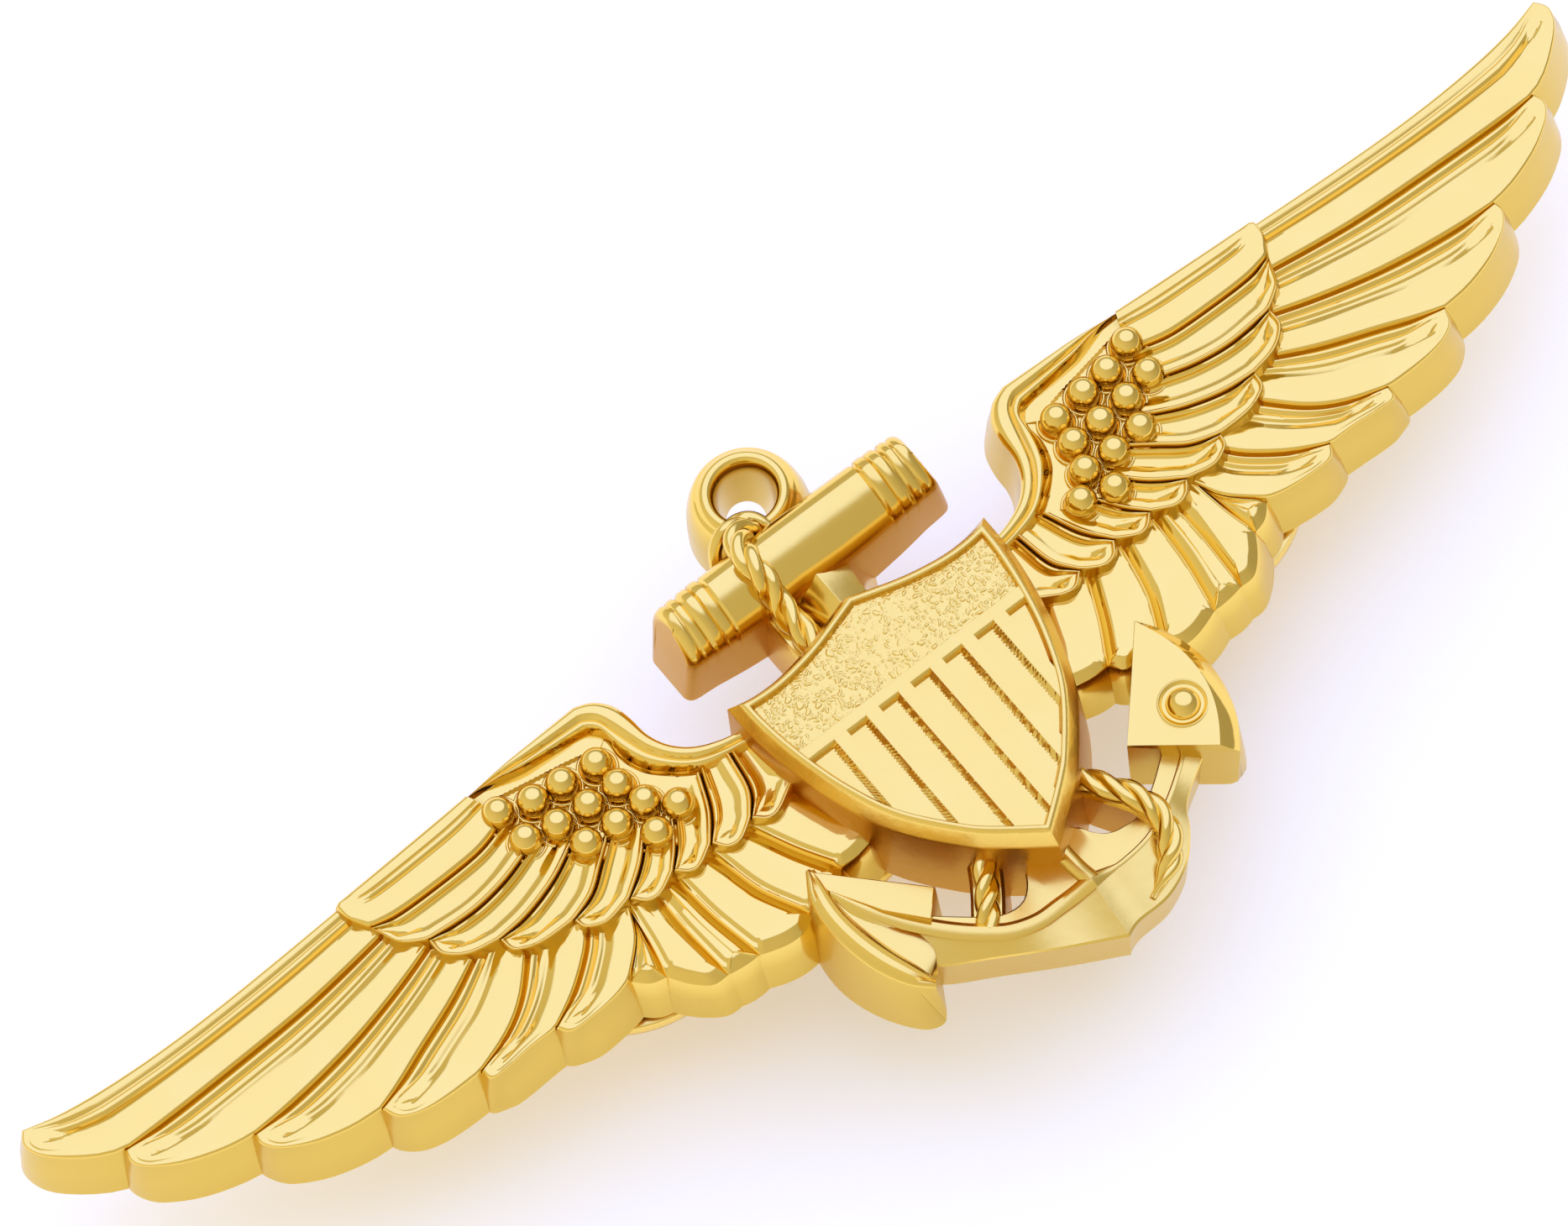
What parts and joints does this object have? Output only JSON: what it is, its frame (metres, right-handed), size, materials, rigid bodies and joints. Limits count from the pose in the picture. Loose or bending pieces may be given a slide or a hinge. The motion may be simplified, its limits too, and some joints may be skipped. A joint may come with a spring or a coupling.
{
  "type": "pilot wings badge",
  "caption": "Gold aviator badge: two feathered wings behind a striped shield and a roped anchor, with butterfly clutches behind.",
  "frame": {"origin": "centre of the badge's box, on the plane that its three clutches stand on", "axes": "+X along the wings, +Y up the badge towards the anchor's ring, +Z out of the badge's front"},
  "size_m": [0.0704, 0.0247, 0.0103],
  "materials": {
    "polished_gold": "mirror-polished gold plate",
    "satin_gold": "satin gold plate, pebbled field",
    "bare_brass": "drawn brass wire",
    "plated_brass": "pressed and plated brass",
    "spring_brass": "pressed spring brass"
  },
  "bodies": {
    "badge": {"left_wing": "polished_gold", "right_wing": "polished_gold", "shield": "satin_gold", "anchor_shank": "polished_gold", "left_fluke": "polished_gold", "right_fluke": "polished_gold", "anchor_stock": "polished_gold", "anchor_ring": "polished_gold", "rope_top": "polished_gold", "rope_left": "polished_gold", "rope_right": "polished_gold", "left_post": "bare_brass", "right_post": "bare_brass", "centre_post": "bare_brass"},
    "left_clutch": {"left_clutch_flange": "plated_brass", "left_clutch_barrel": "plated_brass"},
    "left_inner_ear": {"left_clutch_inner_ear": "spring_brass"},
    "left_outer_ear": {"left_clutch_outer_ear": "spring_brass"},
    "right_clutch": {"right_clutch_flange": "plated_brass", "right_clutch_barrel": "plated_brass"},
    "right_inner_ear": {"right_clutch_inner_ear": "spring_brass"},
    "right_outer_ear": {"right_clutch_outer_ear": "spring_brass"},
    "centre_clutch": {"centre_clutch_flange": "plated_brass", "centre_clutch_barrel": "plated_brass"},
    "centre_inner_ear": {"centre_clutch_inner_ear": "spring_brass"},
    "centre_outer_ear": {"centre_clutch_outer_ear": "spring_brass"}
  },
  "joints": [
    {"name": "left_clutch_pull", "type": "slide", "parent": "badge", "child": "left_clutch", "axis": [0, 0, -1], "range_m": [0, 0.008]},
    {"name": "left_inner_ear_squeeze", "type": "hinge", "parent": "left_clutch", "child": "left_inner_ear", "pos_m": [-0.01005, 0.00165, 0.00375], "axis": [0, 1, 0], "range_deg": [0, 10], "stiffness_Nm_per_rad": 0.002},
    {"name": "left_outer_ear_squeeze", "type": "hinge", "parent": "left_clutch", "child": "left_outer_ear", "pos_m": [-0.01555, 0.00165, 0.00375], "axis": [0, -1, 0], "range_deg": [0, 10], "stiffness_Nm_per_rad": 0.002},
    {"name": "right_clutch_pull", "type": "slide", "parent": "badge", "child": "right_clutch", "axis": [0, 0, -1], "range_m": [0, 0.008]},
    {"name": "right_inner_ear_squeeze", "type": "hinge", "parent": "right_clutch", "child": "right_inner_ear", "pos_m": [0.01005, 0.00165, 0.00375], "axis": [0, -1, 0], "range_deg": [0, 10], "stiffness_Nm_per_rad": 0.002},
    {"name": "right_outer_ear_squeeze", "type": "hinge", "parent": "right_clutch", "child": "right_outer_ear", "pos_m": [0.01555, 0.00165, 0.00375], "axis": [0, 1, 0], "range_deg": [0, 10], "stiffness_Nm_per_rad": 0.002},
    {"name": "centre_clutch_pull", "type": "slide", "parent": "badge", "child": "centre_clutch", "axis": [0, 0, -1], "range_m": [0, 0.008]},
    {"name": "centre_inner_ear_squeeze", "type": "hinge", "parent": "centre_clutch", "child": "centre_inner_ear", "pos_m": [-0.00275, -0.00085, 0.00375], "axis": [0, -1, 0], "range_deg": [0, 10], "stiffness_Nm_per_rad": 0.002},
    {"name": "centre_outer_ear_squeeze", "type": "hinge", "parent": "centre_clutch", "child": "centre_outer_ear", "pos_m": [0.00275, -0.00085, 0.00375], "axis": [0, 1, 0], "range_deg": [0, 10], "stiffness_Nm_per_rad": 0.002}
  ],
  "couplings": [
    {"joint": "left_inner_ear_squeeze", "follows": "left_outer_ear_squeeze", "ratio": 1},
    {"joint": "right_inner_ear_squeeze", "follows": "right_outer_ear_squeeze", "ratio": 1},
    {"joint": "centre_inner_ear_squeeze", "follows": "centre_outer_ear_squeeze", "ratio": 1}
  ]
}
